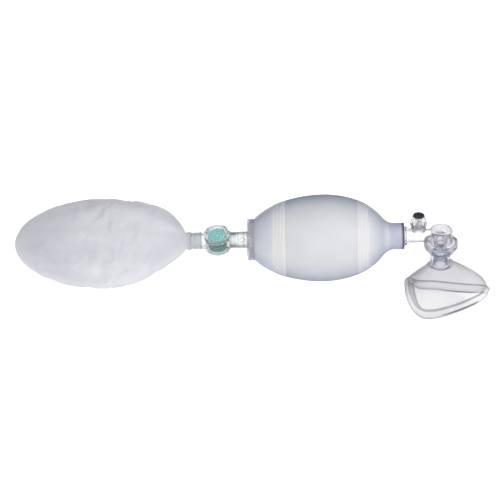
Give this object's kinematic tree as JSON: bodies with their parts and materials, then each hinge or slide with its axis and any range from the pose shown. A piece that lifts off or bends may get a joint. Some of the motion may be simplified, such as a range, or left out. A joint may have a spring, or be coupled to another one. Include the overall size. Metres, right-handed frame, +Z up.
{
  "type": "bag valve mask",
  "caption": "Hand resuscitator: oval squeeze bag with intake valve, reservoir valve and reservoir bag, swivelling patient valve with relief cap, and a cushioned face mask.",
  "frame": {"origin": "middle of the length and width, on the table that the mask cushion and the reservoir bag stand on", "axes": "+X along the device from the reservoir bag to the mask, +Z up; the bag axis rises 7 degrees towards the mask"},
  "size_m": [0.7346, 0.148, 0.1733],
  "materials": {
    "silicone_bag": "satin translucent",
    "smoke_ring": "gloss",
    "clear_housing": "clear polycarbonate, gloss",
    "frosted_collar": "translucent, satin",
    "pale_silicone": "satin",
    "teal_silicone": "satin",
    "cuff_vinyl": "satin translucent",
    "reservoir_film": "soft sheen, translucent",
    "clear_valve": "clear polysulfone, gloss",
    "smoke_bowl": "clear polysulfone, gloss",
    "grey_gasket": "matt",
    "spring_steel": "drawn",
    "white_plastic": "satin",
    "black_plastic": "semi-gloss",
    "lip_silicone": "satin",
    "clear_connector": "clear, gloss",
    "mask_shell": "clear vinyl, gloss",
    "cushion_vinyl": "soft gloss, translucent"
  },
  "bodies": {
    "bag": {"squeeze_bag": "silicone_bag", "neck_bush": "smoke_ring", "intake_housing": "clear_housing", "intake_collar": "frosted_collar", "intake_seat": "clear_housing", "oxygen_nipple": "clear_housing"},
    "intake_flap": {"intake_flap": "pale_silicone"},
    "reservoir_valve": {"reservoir_valve_body": "clear_housing", "overflow_seat": "clear_housing", "overflow_cap": "clear_housing", "air_inlet_seat": "clear_housing", "air_inlet_cap": "clear_housing"},
    "overflow_flap": {"overflow_flap": "teal_silicone"},
    "air_inlet_flap": {"air_inlet_flap": "teal_silicone"},
    "reservoir_bag": {"reservoir_cuff": "cuff_vinyl", "film_clamp_ring": "cuff_vinyl", "reservoir_film": "reservoir_film"},
    "patient_valve": {"valve_upper_housing": "clear_valve", "valve_lower_housing": "smoke_bowl", "valve_gasket": "grey_gasket", "union_ring": "clear_valve", "relief_housing": "clear_valve", "relief_spring": "spring_steel"},
    "relief_plunger": {"relief_plunger": "white_plastic"},
    "relief_cap": {"relief_cap": "black_plastic"},
    "lip_valve": {"lip_valve": "lip_silicone"},
    "mask": {"mask_connector": "clear_connector", "mask_dome": "mask_shell", "mask_cushion": "cushion_vinyl", "inflation_plug": "cushion_vinyl"}
  },
  "joints": [
    {"name": "patient_valve_swivel", "type": "hinge", "parent": "bag", "child": "patient_valve", "pos_m": [0.21248, 0, 0.12081], "axis": [0.9925, 0, 0.1219], "continuous": true},
    {"name": "mask_swivel", "type": "hinge", "parent": "patient_valve", "child": "mask", "pos_m": [0.28148, 0, 0.08395], "axis": [-0.1219, 0, 0.9925], "continuous": true},
    {"name": "reservoir_valve_swivel", "type": "hinge", "parent": "bag", "child": "reservoir_valve", "pos_m": [-0.03467, 0, 0.09047], "axis": [0.9925, 0, 0.1219], "continuous": true},
    {"name": "reservoir_bag_swivel", "type": "hinge", "parent": "reservoir_valve", "child": "reservoir_bag", "pos_m": [-0.09422, 0, 0.08315], "axis": [0.9925, 0, 0.1219], "continuous": true},
    {"name": "relief_cap_lock", "type": "hinge", "parent": "patient_valve", "child": "relief_cap", "pos_m": [0.23811, 0, 0.15821], "axis": [-0.1219, 0, 0.9925], "range_deg": [0, 90]},
    {"name": "relief_plunger_lift", "type": "slide", "parent": "patient_valve", "child": "relief_plunger", "axis": [-0.1219, 0, 0.9925], "range_m": [0, 0.003], "stiffness_N_per_m": 200, "springref_m": -0.0023, "deforming": ["relief_spring"]},
    {"name": "lip_valve_lift", "type": "slide", "parent": "patient_valve", "child": "lip_valve", "axis": [-0.1219, 0, 0.9925], "range_m": [0, 0.002], "stiffness_N_per_m": 25, "springref_m": -0.0004},
    {"name": "intake_flap_lift", "type": "slide", "parent": "bag", "child": "intake_flap", "axis": [0.9925, 0, 0.1219], "range_m": [0, 0.0008], "stiffness_N_per_m": 25, "springref_m": -0.0004},
    {"name": "overflow_flap_lift", "type": "slide", "parent": "reservoir_valve", "child": "overflow_flap", "axis": [-0.1192, -0.2079, 0.9709], "range_m": [0, 0.0008], "stiffness_N_per_m": 25, "springref_m": -0.0004},
    {"name": "air_inlet_flap_lift", "type": "slide", "parent": "reservoir_valve", "child": "air_inlet_flap", "axis": [-0.1192, -0.2079, 0.9709], "range_m": [0, 0.0008], "stiffness_N_per_m": 25, "springref_m": -0.0004}
  ]
}
